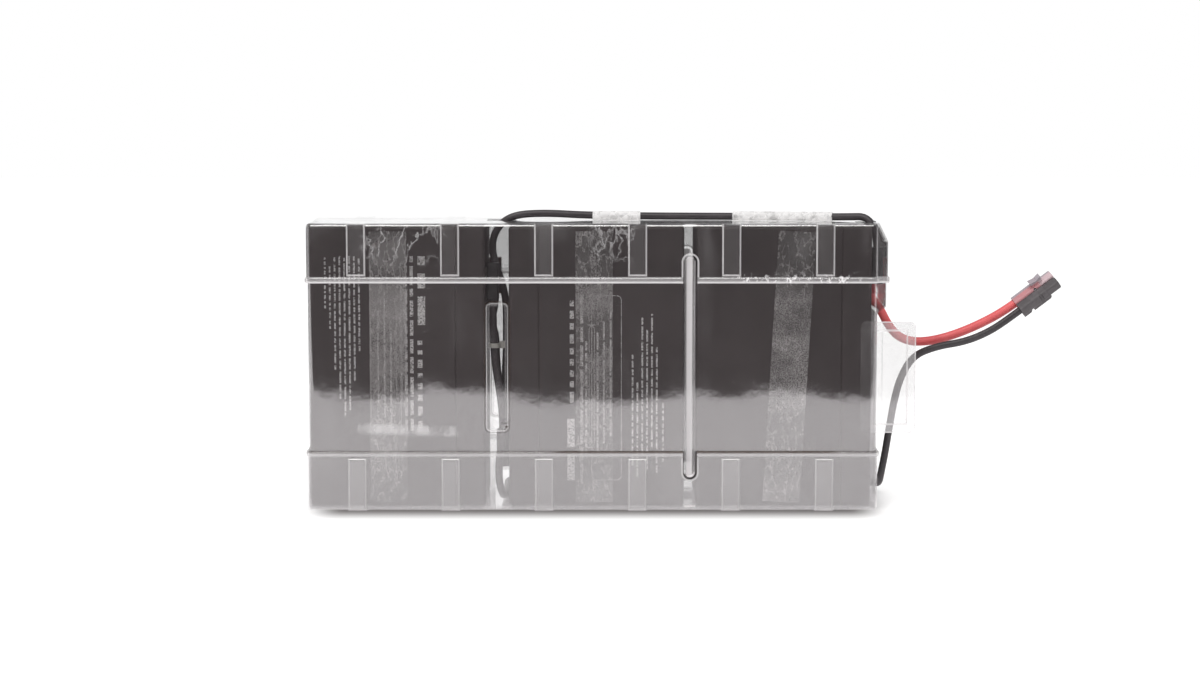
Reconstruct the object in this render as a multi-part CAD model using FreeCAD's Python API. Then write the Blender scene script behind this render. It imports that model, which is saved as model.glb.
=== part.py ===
"""Battery cartridge: three sealed lead-acid blocks in series, in a clear thermoformed case.

The blocks stand on end in a row along X.  Two clear half shells enclose them, a clear tray caps
the bottom and another the top, and two leads with a two-pole power connector leave the right end.
Origin: centre of the base, on the surface that the cartridge stands on.  +Z is up, -Y is front.
All sizes are in millimetres.
"""
import FreeCAD
import Part
import math
import os

V = FreeCAD.Vector
os.makedirs("parts", exist_ok=True)

# ---- sealed lead-acid block, standing on its short end ----
BLOCK_LENGTH = 151.0          # along Z
BLOCK_DEPTH = 65.0            # along Y
CONTAINER_REACH = 78.0        # container, from its floor to the lid joint, along X
LID_REACH = 16.0              # lid, from the joint to the terminal face
CONTAINER_WALL = 2.2
PARTITION = 1.4
CELLS = 6
BLOCK_EDGE = 2.0              # radius of the moulded outer edges
JOINT_CHAMFER = 0.5           # V groove where lid and container are sealed
LID_TOP = 3.0
VENT_HOLE_RADIUS = 4.0
VENT_CAP_GAP = 0.3
VENT_CAP_LENGTH = 5.0
COVER_INSET = 9.5             # from each end of the lid
COVER_WIDTH = 22.0
COVER_THICKNESS = 1.2
COVER_GAP = 0.3
PLATE_GAP = 0.4               # between a cell's plate pack and its compartment
PLATE_HEADROOM = 9.8          # from the plates to the lid joint
STRAP_INSET = 3.0

# ---- terminals, receptacles and their boots ----
TERMINAL_INSET = 26.0         # from the block's short end
TERMINAL_SPREAD = 40.0        # between the two terminals, across the block
POST_RADIUS = 3.0
POST_HOLE_RADIUS = 3.3
POST_FLANGE_RADIUS = 5.0
POST_FLANGE = 1.0
TAB_WIDTH = 6.35
TAB_THICKNESS = 0.8
TAB_REACH = 5.5
TAB_HOLE_RADIUS = 0.9
TAB_CHAMFER = 1.2
BOOT_DEPTH = 6.6              # along X
BOOT_WIDTH = 8.5              # along Y
BOOT_BACK = 5.6               # beyond the tab's centre, away from the wire
BOOT_FRONT = 14.0             # from the tab's centre to the mouth
BOOT_STANDOFF = 0.4
BOOT_RADIUS = 1.4
BOOT_WALL = 0.8
BOOT_GRIP = 6.0               # length of insulation held in the boot
CLIP_SLOT_GAP = 0.1
CLIP_WIDTH = 3.0
BARREL_RADIUS = 1.9

# ---- places of the blocks ----
GAP_WIRES = 12.6              # between blocks 1 and 2, where the terminals face each other
GAP_BACKS = 6.4               # between blocks 2 and 3
LIFT = 2.0                    # block's lower end above the base

# ---- clear film case ----
FILM = 0.5
SHELL_GAP = 0.5               # shell to block, front, rear and left
SHELL_TOP_GAP = 0.4
SHELL_END_GAP = 2.6           # shell to block 3 at the right end
TRAY_GAP = 0.25               # tray to shell
TRAY_DEPTH = 32.0
TRAY_TOP_GAP = 0.1            # flat of the top tray to the shells
CORNER = 3.0
FLOOR_CORNER = 1.5
RIB_COUNT = 6
RIB_WIDTH = 9.2
RIB_OUT = 1.5
RIB_MARGIN = 1.1              # from the ribs' ends to the rolled rim
RIB_EDGE = 0.7
PAD_WIDTH = 30.0
PAD_INSET = 9.5               # pad's edge from the block's front and rear faces
PAD_SPLIT = 14.0              # flat floor between a block's two pads
RIM_HEIGHT = 3.2
RIM_OUT = 0.9
RIM_ROLL = 0.8
SPACER_GAP = 0.4              # long pill rib to blocks 2 and 3
SPACER_INSET = 17.75          # from the top and the bottom of the case
SPACER_IN = 6.0
POCKET_GAP = 0.5              # window to blocks 1 and 2
POCKET_LENGTH = 69.0
POCKET_IN = 1.6
POCKET_CORNER = 2.5
NOTCH_GAP = 1.0               # tray notch round the spacer
NOTCH_BEAD = 0.9
HOOD_GAP = 0.4                # boot to the inside of the terminal hood
HOOD_SIDE_GAP = 4.75
HOOD_LOW = 110.0              # where the hood's outer face ends below
HOOD_SLANT = 5.5              # drop of its slanted underside
HOOD_SHOULDER = 10.0          # height of its slanted shoulder
HOOD_SHOULDER_RUN = 5.0

# ---- pull tab, adhesive strips and tapes ----
TAB_REACH_OUT = 20.6
TAB_LOW = 42.0
TAB_TALL = 60.0
TAB_FOOT = 9.0                # stretch bonded to the shell
TAB_BORDER = 4.5
TAB_RAISE = 1.4
STRIP_WIDTH = 20.0
STRIP_OFFSETS = (-5.0, -1.2, 3.0)   # strip's centre from its block's centre
STRIP_INSET = 2.5             # from each end of the block
STRIP_THICKNESS = 0.25
STRIP_TILT = 3.2              # degrees, on block 3
TAPE = 0.2
TAPE_SKIRT = 5.0
REAR_TAPE_SKIRT = 3.0
TAPE_GAP = 0.6                # tape to the wire that it holds

# ---- wires and power connector ----
WIRE = 4.0                    # links and black lead
RED_WIRE = 4.8
TIE_HEIGHT = 88.0
TIE_WIDTH = 2.4
TIE_THICKNESS = 0.9
TIE_GAP = 0.4
HOUSING_LENGTH = 25.4
HOUSING_SIDE = 6.2            # square section of the body
HOUSING_ROUND = 1.6
HOUSING_PITCH = 37.3          # degrees above the horizontal
HOUSING_ROLL = 40.0           # degrees about its own axis
BORE_GAP = 0.25
BORE_DEPTH = 11.0
NOSE_LENGTH = 8.2
NOSE_STEP = 0.35
CONTACT_WIDTH = 3.0
CONTACT_THICKNESS = 1.3
CONTACT_GAP = 0.15
PIN_RADIUS = 0.9
PIN_WALL = 0.3
PIN_GAP = 0.1
PIN_PLACE = 13.2              # from the housing's rear end
LUG_LENGTH = 5.4              # lug under each housing's rear end
LUG_DROP = 2.4
LUG_CHAMFER = 1.0
HOOK_TIP = 6.6                # hooked lug underneath, from the housing's rear end
HOOK_STEM = 12.0
HOOK_END = 18.4
HOOK_GAP = 0.9
HOOK_DROP = 2.7
CREST_PLACE = 15.9            # middle of the flared lug on the red housing
CREST_HALF = 3.0
CREST_FLARE = 0.6
CREST_LIP = 1.3
CREST_RISE = 3.9
CREST_DIP = 1.0
BLADE_LOW = -1.3              # below the wire's axis
SLOT_LOW = -1.4
SLOT_HIGH = 1.1

# ---- derived places ----
WIRE_RADIUS = WIRE / 2
BLOCK_REACH = CONTAINER_REACH + LID_REACH
ROW = 3 * BLOCK_REACH + GAP_WIRES + GAP_BACKS
BLOCK1_X = -ROW / 2
BLOCK2_X = BLOCK1_X + BLOCK_REACH + GAP_WIRES
BLOCK3_X = BLOCK2_X + BLOCK_REACH + GAP_BACKS
ROW_END = ROW / 2
GAP1_MIDDLE = BLOCK2_X - GAP_WIRES / 2
GAP2_MIDDLE = BLOCK3_X - GAP_BACKS / 2
HALF_DEPTH = BLOCK_DEPTH / 2
BLOCK_TOP = LIFT + BLOCK_LENGTH
SHELL_X0 = BLOCK1_X - SHELL_GAP
SHELL_X1 = ROW_END + SHELL_END_GAP
SHELL_Y = HALF_DEPTH + SHELL_GAP
SHELL_TOP = BLOCK_TOP + SHELL_TOP_GAP
TRAY_X0 = SHELL_X0 - FILM - TRAY_GAP
TRAY_X1 = SHELL_X1 + FILM + TRAY_GAP
TRAY_Y = SHELL_Y + FILM + TRAY_GAP
PAD_TOP = LIFT - FILM
HOOD_REACH = BOOT_STANDOFF + BOOT_DEPTH + HOOD_GAP
HOOD_HALF_DEPTH = TERMINAL_SPREAD / 2 + BOOT_WIDTH / 2 + HOOD_SIDE_GAP
HOOD_X = ROW_END + HOOD_REACH
CASE_HEIGHT = SHELL_TOP + 2 * FILM + TRAY_TOP_GAP
MIDDLE_Z = CASE_HEIGHT / 2
TRAY_MOUTH = CASE_HEIGHT - TRAY_DEPTH
SPACER_LENGTH = CASE_HEIGHT - 2 * SPACER_INSET
STRIP_LENGTH = BLOCK_LENGTH - 2 * STRIP_INSET
RIB_PITCH = ROW / RIB_COUNT
RIB_HEIGHT = TRAY_DEPTH - RIM_HEIGHT - RIB_MARGIN
SPACER_WIDTH = GAP_BACKS - 2 * SPACER_GAP
POCKET_WIDTH = GAP_WIRES - 2 * POCKET_GAP
PAD_DEPTH = BLOCK_DEPTH - 2 * PAD_INSET
PAD_OFFSET = (PAD_SPLIT + PAD_WIDTH) / 2


def save(shape, name):
    """Write one piece to its own file, after checking that it is sound."""
    shape = shape.removeSplitter()
    if not shape.isValid():
        raise ValueError(name + " is not a valid solid")
    shape.exportStep("parts/" + name + ".step")
    print(name, len(shape.Solids), round(shape.Volume, 1))


def box(x0, x1, y0, y1, z0, z1):
    return Part.makeBox(x1 - x0, y1 - y0, z1 - z0, V(x0, y0, z0))


def centred_box(x, y, z, width, depth, height):
    return box(x - width / 2, x + width / 2, y - depth / 2, y + depth / 2, z - height / 2, z + height / 2)


def edges_along(shape, direction):
    """Straight edges that run along a direction."""
    found = []
    for edge in shape.Edges:
        start, end = edge.Vertexes[0].Point, edge.Vertexes[-1].Point
        run = end.sub(start)
        if run.Length > 1e-6 and abs(run.normalize().dot(direction)) > 0.999:
            found.append(edge)
    return found


def prism(points, direction):
    """Solid from a closed outline of straight sides, extruded."""
    corners = [V(*p) for p in points]
    outline = Part.makePolygon(corners + [corners[0]])
    return Part.Face(outline).extrude(direction)


def slot_prism(x, z, width, length, radius, y0, y1):
    """Upright rounded slot in the X-Z plane, extruded from y0 to y1."""
    blank = box(x - width / 2, x + width / 2, y0, y1, z - length / 2, z + length / 2)
    return blank.makeFillet(radius, edges_along(blank, V(0, 1, 0)))


# ============ sealed lead-acid blocks ============
# A block is modelled with its floor at x = 0, its terminal face at x = BLOCK_REACH and its
# terminal end at z = BLOCK_LENGTH; its depth is centred on y = 0.
def soft_block(x0, x1, closed_face_x):
    """Outer form with rounded long edges and a rounded closed face."""
    blank = box(x0, x1, -HALF_DEPTH, HALF_DEPTH, 0, BLOCK_LENGTH)
    rounded = edges_along(blank, V(1, 0, 0))
    for edge in blank.Edges:
        at = edge.CenterOfMass
        if abs(at.x - closed_face_x) < 1e-6:
            rounded.append(edge)
    return blank.makeFillet(BLOCK_EDGE, rounded)


def chamfer_at(shape, x):
    """Chamfer the whole rim at one x."""
    rim = [e for e in shape.Edges if abs(e.BoundBox.XMin - x) < 1e-6 and abs(e.BoundBox.XMax - x) < 1e-6]
    return shape.makeChamfer(JOINT_CHAMFER, rim)


CELL_PITCH = (BLOCK_LENGTH - 2 * CONTAINER_WALL + PARTITION) / CELLS
CELL_WIDTH = CELL_PITCH - PARTITION


def cell_low(i):
    return CONTAINER_WALL + i * CELL_PITCH


def container():
    """Box with six compartments, open towards the lid."""
    body = chamfer_at(soft_block(0, CONTAINER_REACH, 0), CONTAINER_REACH)
    inner = HALF_DEPTH - CONTAINER_WALL
    for i in range(CELLS):
        low = cell_low(i)
        body = body.cut(box(CONTAINER_WALL, CONTAINER_REACH + 1, -inner, inner, low, low + CELL_WIDTH))
    return body


def plate_packs():
    """One block of plates and separators for each compartment, with its two straps."""
    packs = []
    half = HALF_DEPTH - CONTAINER_WALL - PLATE_GAP
    strap = half / 3
    strap_rise = PLATE_HEADROOM / 2
    for i in range(CELLS):
        low = cell_low(i) + PLATE_GAP
        high = cell_low(i) + CELL_WIDTH - PLATE_GAP
        top = CONTAINER_REACH - PLATE_HEADROOM
        pack = box(CONTAINER_WALL, top, -half, half, low, high)
        for side in (-1, 1):
            foot = side * half / 2
            start, end = low + STRAP_INSET, high - STRAP_INSET
            pack = pack.fuse(box(top, top + strap_rise, foot - strap / 2, foot + strap / 2, start, end))
        packs.append(pack)
    return Part.makeCompound(packs)


def terminal_places():
    """Y of the negative terminal at the front and the positive one at the rear."""
    return {"negative": -TERMINAL_SPREAD / 2, "positive": TERMINAL_SPREAD / 2}


TERMINAL_Z = BLOCK_LENGTH - TERMINAL_INSET


def x_cylinder(radius, x0, x1, y, z):
    return Part.makeCylinder(radius, x1 - x0, V(x0, y, z), V(1, 0, 0))


def lid():
    """Cap with a cover recess, six vent wells and two terminal holes."""
    body = chamfer_at(soft_block(CONTAINER_REACH, BLOCK_REACH, BLOCK_REACH), CONTAINER_REACH)
    inner = HALF_DEPTH - CONTAINER_WALL
    roof = BLOCK_REACH - LID_TOP
    body = body.cut(
        box(CONTAINER_REACH - 1, roof, -inner, inner, CONTAINER_WALL, BLOCK_LENGTH - CONTAINER_WALL)
    )
    half_width = COVER_WIDTH / 2 + COVER_GAP
    middle = BLOCK_LENGTH / 2
    half_length = middle - COVER_INSET + COVER_GAP
    body = body.cut(
        box(
            BLOCK_REACH - COVER_THICKNESS,
            BLOCK_REACH + 1,
            -half_width,
            half_width,
            middle - half_length,
            middle + half_length,
        )
    )
    neck_end = roof - VENT_CAP_LENGTH
    for i in range(CELLS):
        z = cell_low(i) + CELL_WIDTH / 2
        body = body.fuse(x_cylinder(VENT_HOLE_RADIUS + 1.5, neck_end, roof, 0, z))
        body = body.cut(x_cylinder(VENT_HOLE_RADIUS, neck_end - 1, BLOCK_REACH, 0, z))
    for y in terminal_places().values():
        body = body.cut(x_cylinder(POST_HOLE_RADIUS, roof - 1, BLOCK_REACH + 1, y, TERMINAL_Z))
    return body


def vent_cover():
    middle = BLOCK_LENGTH / 2
    plate = centred_box(
        BLOCK_REACH - COVER_THICKNESS / 2, 0, middle, COVER_THICKNESS, COVER_WIDTH, 2 * (middle - COVER_INSET)
    )
    return plate.makeFillet(3.0, edges_along(plate, V(1, 0, 0)))


def vent_caps():
    """Six rubber relief caps, each seated in its neck under the cover."""
    caps = []
    top = BLOCK_REACH - COVER_THICKNESS
    for i in range(CELLS):
        z = cell_low(i) + CELL_WIDTH / 2
        caps.append(x_cylinder(VENT_HOLE_RADIUS - VENT_CAP_GAP, top - VENT_CAP_LENGTH, top, 0, z))
    return Part.makeCompound(caps)


def terminal(y):
    """Lead post under the lid with a flanged spade tab above it."""
    roof = BLOCK_REACH - LID_TOP
    post = x_cylinder(POST_RADIUS, roof - 4, BLOCK_REACH, y, TERMINAL_Z)
    collar = x_cylinder(POST_FLANGE_RADIUS, roof - 4, roof - 4 + POST_FLANGE + 3, y, TERMINAL_Z)
    tip = BLOCK_REACH + TAB_REACH
    half = TAB_WIDTH / 2
    outline = [
        (BLOCK_REACH - 1, y - TAB_THICKNESS / 2, TERMINAL_Z - half),
        (tip - TAB_CHAMFER, y - TAB_THICKNESS / 2, TERMINAL_Z - half),
        (tip, y - TAB_THICKNESS / 2, TERMINAL_Z - half + TAB_CHAMFER),
        (tip, y - TAB_THICKNESS / 2, TERMINAL_Z + half - TAB_CHAMFER),
        (tip - TAB_CHAMFER, y - TAB_THICKNESS / 2, TERMINAL_Z + half),
        (BLOCK_REACH - 1, y - TAB_THICKNESS / 2, TERMINAL_Z + half),
    ]
    tab = prism(outline, V(0, TAB_THICKNESS, 0))
    tab = tab.common(box(BLOCK_REACH, tip + 1, -HALF_DEPTH, HALF_DEPTH, 0, BLOCK_LENGTH)).fuse(
        centred_box(BLOCK_REACH - 0.5, y, TERMINAL_Z, 1.0, TAB_THICKNESS, 2 * POST_RADIUS - 1)
    )
    start = V(BLOCK_REACH + TAB_REACH * 0.6, y - 2, TERMINAL_Z)
    hole = Part.makeCylinder(TAB_HOLE_RADIUS, 4, start, V(0, 1, 0))
    return post.fuse(collar).fuse(tab).cut(hole)


def boot_form(y, up, grow):
    """Outer form of a boot, or its cavity where grow is negative."""
    low = TERMINAL_Z - (BOOT_BACK if up else BOOT_FRONT)
    high = TERMINAL_Z + (BOOT_FRONT if up else BOOT_BACK)
    x0 = BLOCK_REACH + BOOT_STANDOFF
    return box(
        x0 - grow, x0 + BOOT_DEPTH + grow, y - BOOT_WIDTH / 2 - grow, y + BOOT_WIDTH / 2 + grow, low, high
    )


def wire_axis_x():
    return BLOCK_REACH + BOOT_STANDOFF + BOOT_DEPTH / 2


def boot(y, up, wire):
    """Soft sleeve over the flag receptacle, open to the tab and at the wire's end."""
    body = boot_form(y, up, 0)
    body = body.makeFillet(BOOT_RADIUS, edges_along(body, V(0, 0, 1)))
    toward = 1 if up else -1
    mouth = TERMINAL_Z + toward * BOOT_FRONT
    x = wire_axis_x()
    bore = Part.makeCylinder(wire / 2 + BORE_GAP, BOOT_GRIP, V(x, y, mouth), V(0, 0, -toward))
    body = body.cut(bore)
    barrel_end = mouth - toward * BOOT_GRIP
    body = body.cut(
        Part.makeCylinder(
            BARREL_RADIUS + 0.2, abs(barrel_end - TERMINAL_Z), V(x, y, barrel_end), V(0, 0, -toward)
        )
    )
    pocket = box(
        BLOCK_REACH - 1,
        BLOCK_REACH + BOOT_STANDOFF + BOOT_DEPTH - BOOT_WALL,
        y - CLIP_WIDTH / 2 - 0.2,
        y + CLIP_WIDTH / 2 + 0.2,
        TERMINAL_Z - TAB_WIDTH / 2 - 1.3,
        TERMINAL_Z + TAB_WIDTH / 2 + 1.3,
    )
    return body.cut(pocket)


def receptacle(y, up):
    """Brass clip with a slot for the tab, and the barrel that is crimped on the wire."""
    toward = 1 if up else -1
    x = wire_axis_x()
    clip = box(
        BLOCK_REACH + BOOT_STANDOFF,
        BLOCK_REACH + BOOT_STANDOFF + BOOT_DEPTH - BOOT_WALL - 0.1,
        y - CLIP_WIDTH / 2,
        y + CLIP_WIDTH / 2,
        TERMINAL_Z - TAB_WIDTH / 2 - 1,
        TERMINAL_Z + TAB_WIDTH / 2 + 1,
    )
    barrel_end = TERMINAL_Z + toward * (BOOT_FRONT - BOOT_GRIP)
    barrel = Part.makeCylinder(
        BARREL_RADIUS, abs(barrel_end - TERMINAL_Z), V(x, y, barrel_end), V(0, 0, -toward)
    )
    half = TAB_WIDTH / 2 + CLIP_SLOT_GAP
    thick = TAB_THICKNESS / 2 + CLIP_SLOT_GAP
    slot = box(
        BLOCK_REACH - 1, BLOCK_REACH + TAB_REACH + CLIP_SLOT_GAP,
        y - thick, y + thick, TERMINAL_Z - half, TERMINAL_Z + half,
    )
    return clip.fuse(barrel).cut(slot)


def stand(shape, block):
    """Put a block's piece in the row; block 2 is turned end for end about Y."""
    placed = shape.copy()
    if block == 2:
        placed.rotate(V(0, 0, 0), V(0, 1, 0), 180)
        placed.translate(V(BLOCK2_X + BLOCK_REACH, 0, BLOCK_TOP))
    else:
        placed.translate(V(BLOCK1_X if block == 1 else BLOCK3_X, 0, LIFT))
    return placed


BLOCK_PIECES = {
    "container": container(),
    "lid": lid(),
    "vent_cover": vent_cover(),
    "vent_caps": vent_caps(),
    "plate_packs": plate_packs(),
}
# Whether each pole's wire leaves towards the terminal end of its block, and the wire's diameter.
WIRE_AT = {
    (1, "negative"): (False, WIRE),
    (1, "positive"): (False, WIRE),
    (2, "negative"): (False, WIRE),
    (2, "positive"): (False, WIRE),
    (3, "negative"): (True, WIRE),
    (3, "positive"): (False, RED_WIRE),
}
for number in (1, 2, 3):
    for piece, shape in BLOCK_PIECES.items():
        save(stand(shape, number), "block_%d_%s" % (number, piece))
    for pole, y in terminal_places().items():
        to_end, wire = WIRE_AT[(number, pole)]
        save(stand(terminal(y), number), "block_%d_%s_terminal" % (number, pole))
        save(stand(boot(y, to_end, wire), number), "block_%d_%s_boot" % (number, pole))
        save(stand(receptacle(y, to_end), number), "block_%d_%s_receptacle" % (number, pole))


# ============ clear film case ============
def hood_form(grow, x_face, low, high):
    """Terminal hood at the right end: slanted underside and slanted shoulder."""
    x0 = ROW_END
    x1 = x_face + grow
    slant = HOOD_SLANT * (x1 - x0) / HOOD_REACH
    y0 = -HOOD_HALF_DEPTH - grow
    outline = [
        (x0, y0, low - slant - grow),
        (x1, y0, low - grow),
        (x1, y0, high + grow - HOOD_SHOULDER),
        (x1 - HOOD_SHOULDER_RUN, y0, high + grow),
        (x0, y0, high + grow),
    ]
    return prism(outline, V(0, 2 * (HOOD_HALF_DEPTH + grow), 0))


def shell_form(grow):
    """Form that both half shells are drawn over, grown by the film."""
    body = box(
        SHELL_X0 - grow, SHELL_X1 + grow, -SHELL_Y - grow, SHELL_Y + grow, LIFT - grow, SHELL_TOP + grow
    )
    body = body.makeFillet(CORNER - FILM + grow, edges_along(body, V(0, 0, 1)))
    top_edges = [e for e in body.Edges if abs(e.BoundBox.ZMin - SHELL_TOP - grow) < 1e-6]
    body = body.makeFillet(FLOOR_CORNER - FILM + grow, top_edges)
    body = body.fuse(hood_form(grow, HOOD_X, HOOD_LOW, SHELL_TOP))
    for side in (-1, 1):
        face = side * (SHELL_Y + grow)
        spacer_end = side * (SHELL_Y - SPACER_IN + grow)
        width = SPACER_WIDTH - 2 * grow
        spacer = slot_prism(
            GAP2_MIDDLE, MIDDLE_Z, width, SPACER_LENGTH - 2 * grow, width / 2 - 0.05,
            min(face + side, spacer_end), max(face + side, spacer_end),
        )
        pocket_end = side * (SHELL_Y - POCKET_IN + grow)
        pocket = slot_prism(
            GAP1_MIDDLE, MIDDLE_Z, POCKET_WIDTH - 2 * grow, POCKET_LENGTH - 2 * grow, POCKET_CORNER - grow,
            min(face + side, pocket_end), max(face + side, pocket_end),
        )
        body = body.cut(spacer).cut(pocket)
    return body


def link_openings():
    """Openings in the film for the link over the top and the lead at the rear."""
    over_gap = centred_box(GAP1_MIDDLE + 1.5, 0, CASE_HEIGHT, 15.0, 17.0, 8.0)
    over_hood = box(ROW_END - 8, HOOD_X + 5, -25, -11.5, BLOCK_TOP - 9, CASE_HEIGHT + 1)
    rear_exit = box(GAP1_MIDDLE - 3.5, GAP1_MIDDLE + 12, SHELL_Y - 1, TRAY_Y + RIB_OUT + 2, LIFT + 0.3, 12)
    under_hood = box(ROW_END + 1, HOOD_X + 5, 13, 26, HOOD_LOW - 12, HOOD_LOW + 6)
    return over_gap.fuse(over_hood).fuse(rear_exit).fuse(under_hood)


OPENINGS = link_openings()
SHELL_FILM = shell_form(FILM).cut(shell_form(0)).cut(OPENINGS)
FAR = 400.0
save(SHELL_FILM.common(box(-FAR, FAR, -FAR, 0, -FAR, FAR)), "front_shell")
save(SHELL_FILM.common(box(-FAR, FAR, 0, FAR, -FAR, FAR)), "rear_shell")


def rib_xs():
    return [(i - (RIB_COUNT - 1) / 2) * RIB_PITCH for i in range(RIB_COUNT)]


def tray_form(grow, pads):
    """Form of a tray, mouth up, grown by the film: flat floor, wall ribs and any standing pads."""
    over = TRAY_DEPTH + (1 - grow / FILM)
    low = FILM - grow
    body = box(TRAY_X0 - grow, TRAY_X1 + grow, -TRAY_Y - grow, TRAY_Y + grow, low, over)
    body = body.makeFillet(CORNER + grow, edges_along(body, V(0, 0, 1)))
    floor_edges = [e for e in body.Edges if abs(e.BoundBox.ZMax - low) < 1e-6]
    body = body.makeFillet(FLOOR_CORNER + grow, floor_edges)
    for x in rib_xs():
        for side in (-1, 1):
            inside, outside = side * (TRAY_Y - 2), side * (TRAY_Y + RIB_OUT + grow)
            rib = box(
                x - RIB_WIDTH / 2 - grow, x + RIB_WIDTH / 2 + grow,
                min(inside, outside), max(inside, outside), low, RIB_HEIGHT + grow,
            )
            face_edges = [e for e in rib.Edges if abs(e.CenterOfMass.y - outside) < 1e-6]
            ends = [e for e in face_edges if e.CenterOfMass.z > low + 1]
            body = body.fuse(rib.makeFillet(RIB_EDGE + grow, ends))
    raised = PAD_TOP - grow
    for block_x in (BLOCK1_X, BLOCK2_X, BLOCK3_X) if pads else ():
        for side in (-1, 1):
            x = block_x + BLOCK_REACH / 2 + side * PAD_OFFSET
            inset = 2 * (FILM - grow)
            pad = centred_box(x, 0, 0, PAD_WIDTH + inset, PAD_DEPTH + inset, 2 * raised)
            body = body.cut(pad)
    return body


def tray(hooded):
    """Drawn tray, mouth up, with its rolled rim and the notches round the spacers."""
    outer, inner = tray_form(FILM, not hooded), tray_form(0, not hooded)
    rim = box(
        TRAY_X0 - FILM - RIM_OUT, TRAY_X1 + FILM + RIM_OUT,
        -TRAY_Y - FILM - RIM_OUT, TRAY_Y + FILM + RIM_OUT, TRAY_DEPTH - RIM_HEIGHT, TRAY_DEPTH,
    )
    rim = rim.makeFillet(CORNER + FILM + RIM_OUT, edges_along(rim, V(0, 0, 1)))
    rim = rim.makeFillet(RIM_ROLL, [e for e in rim.Edges if e.BoundBox.ZLength < 1e-6])
    if hooded:
        turned = V(0, 0, 0), V(1, 0, 0), 180
        room = hood_form(TRAY_GAP + FILM, HOOD_X, TRAY_MOUTH - 20, SHELL_TOP)
        cover = hood_form(TRAY_GAP + 2 * FILM, HOOD_X, TRAY_MOUTH - 20, SHELL_TOP)
        flare = hood_form(TRAY_GAP + 2 * FILM + RIM_OUT, HOOD_X, TRAY_MOUTH - 20, SHELL_TOP)
        for form in (room, cover, flare):
            form.rotate(*turned)
            form.translate(V(0, 0, CASE_HEIGHT))
        below = box(-FAR, FAR, -FAR, FAR, -FAR, TRAY_DEPTH)
        outer = outer.fuse(cover.common(below))
        inner = inner.fuse(room)
        rim = rim.fuse(flare.common(box(-FAR, FAR, -FAR, FAR, TRAY_DEPTH - RIM_HEIGHT, TRAY_DEPTH)))
    body = outer.fuse(rim)
    spacer_low = MIDDLE_Z - SPACER_LENGTH / 2
    notch_width = SPACER_WIDTH + 2 * NOTCH_GAP
    for side in (-1, 1):
        near, far = side * (TRAY_Y - 1), side * (TRAY_Y + FILM + RIM_OUT)
        notch_end = TRAY_DEPTH + notch_width
        bead = slot_prism(
            GAP2_MIDDLE, (spacer_low - NOTCH_GAP - NOTCH_BEAD + notch_end) / 2,
            notch_width + 2 * NOTCH_BEAD, notch_end - spacer_low + NOTCH_GAP + NOTCH_BEAD,
            notch_width / 2 + NOTCH_BEAD - 0.05, min(near, far), max(near, far),
        )
        body = body.fuse(bead.common(box(-FAR, FAR, -FAR, FAR, 0, TRAY_DEPTH)))
        far = side * (TRAY_Y + RIB_OUT + 4)
        notch = slot_prism(
            GAP2_MIDDLE, (spacer_low - NOTCH_GAP + notch_end) / 2,
            notch_width, notch_end - spacer_low + NOTCH_GAP, notch_width / 2 - 0.05,
            min(near, far), max(near, far),
        )
        body = body.cut(notch)
    return body.cut(inner)


save(tray(False).cut(OPENINGS), "bottom_tray")
top = tray(True)
top.rotate(V(0, 0, 0), V(1, 0, 0), 180)
top.translate(V(0, 0, CASE_HEIGHT))
save(top.cut(OPENINGS), "top_tray")


# ============ pull tab, adhesive strips ============
def pull_tab():
    """Drawn tongue with a raised panel, bonded by its foot to the front shell."""
    x0 = SHELL_X1 + FILM - TAB_FOOT
    x1 = SHELL_X1 + FILM + TAB_REACH_OUT
    y0 = -SHELL_Y - 2 * FILM
    y1 = -SHELL_Y - FILM
    z0, z1 = TAB_LOW, TAB_LOW + TAB_TALL
    plate = box(x0, x1, y0, y1, z0, z1)
    plate = plate.makeFillet(CORNER, edges_along(plate, V(0, 1, 0)))
    left = SHELL_X1 + FILM + TAB_BORDER / 2
    outer = box(left, x1 - TAB_BORDER, y0 - TAB_RAISE, y1, z0 + TAB_BORDER, z1 - TAB_BORDER)
    inner = box(
        left + FILM, x1 - TAB_BORDER - FILM, y0 - TAB_RAISE + FILM, y1 + 1,
        z0 + TAB_BORDER + FILM, z1 - TAB_BORDER - FILM,
    )
    outer = outer.makeFillet(1.5, edges_along(outer, V(0, 1, 0)))
    inner = inner.makeFillet(1.0, edges_along(inner, V(0, 1, 0)))
    return plate.fuse(outer).cut(inner)


save(pull_tab(), "pull_tab")

for number, block_x in ((1, BLOCK1_X), (2, BLOCK2_X), (3, BLOCK3_X)):
    x = block_x + BLOCK_REACH / 2 + STRIP_OFFSETS[number - 1]
    for side, where in ((-1, "front"), (1, "rear")):
        y = side * (HALF_DEPTH + STRIP_THICKNESS / 2)
        strip = centred_box(x, y, MIDDLE_Z, STRIP_WIDTH, STRIP_THICKNESS, STRIP_LENGTH)
        if number == 3:
            strip.rotate(V(x, y, MIDDLE_Z), V(0, 1, 0), STRIP_TILT)
        save(strip, "block_%d_%s_strip" % (number, where))


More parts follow.
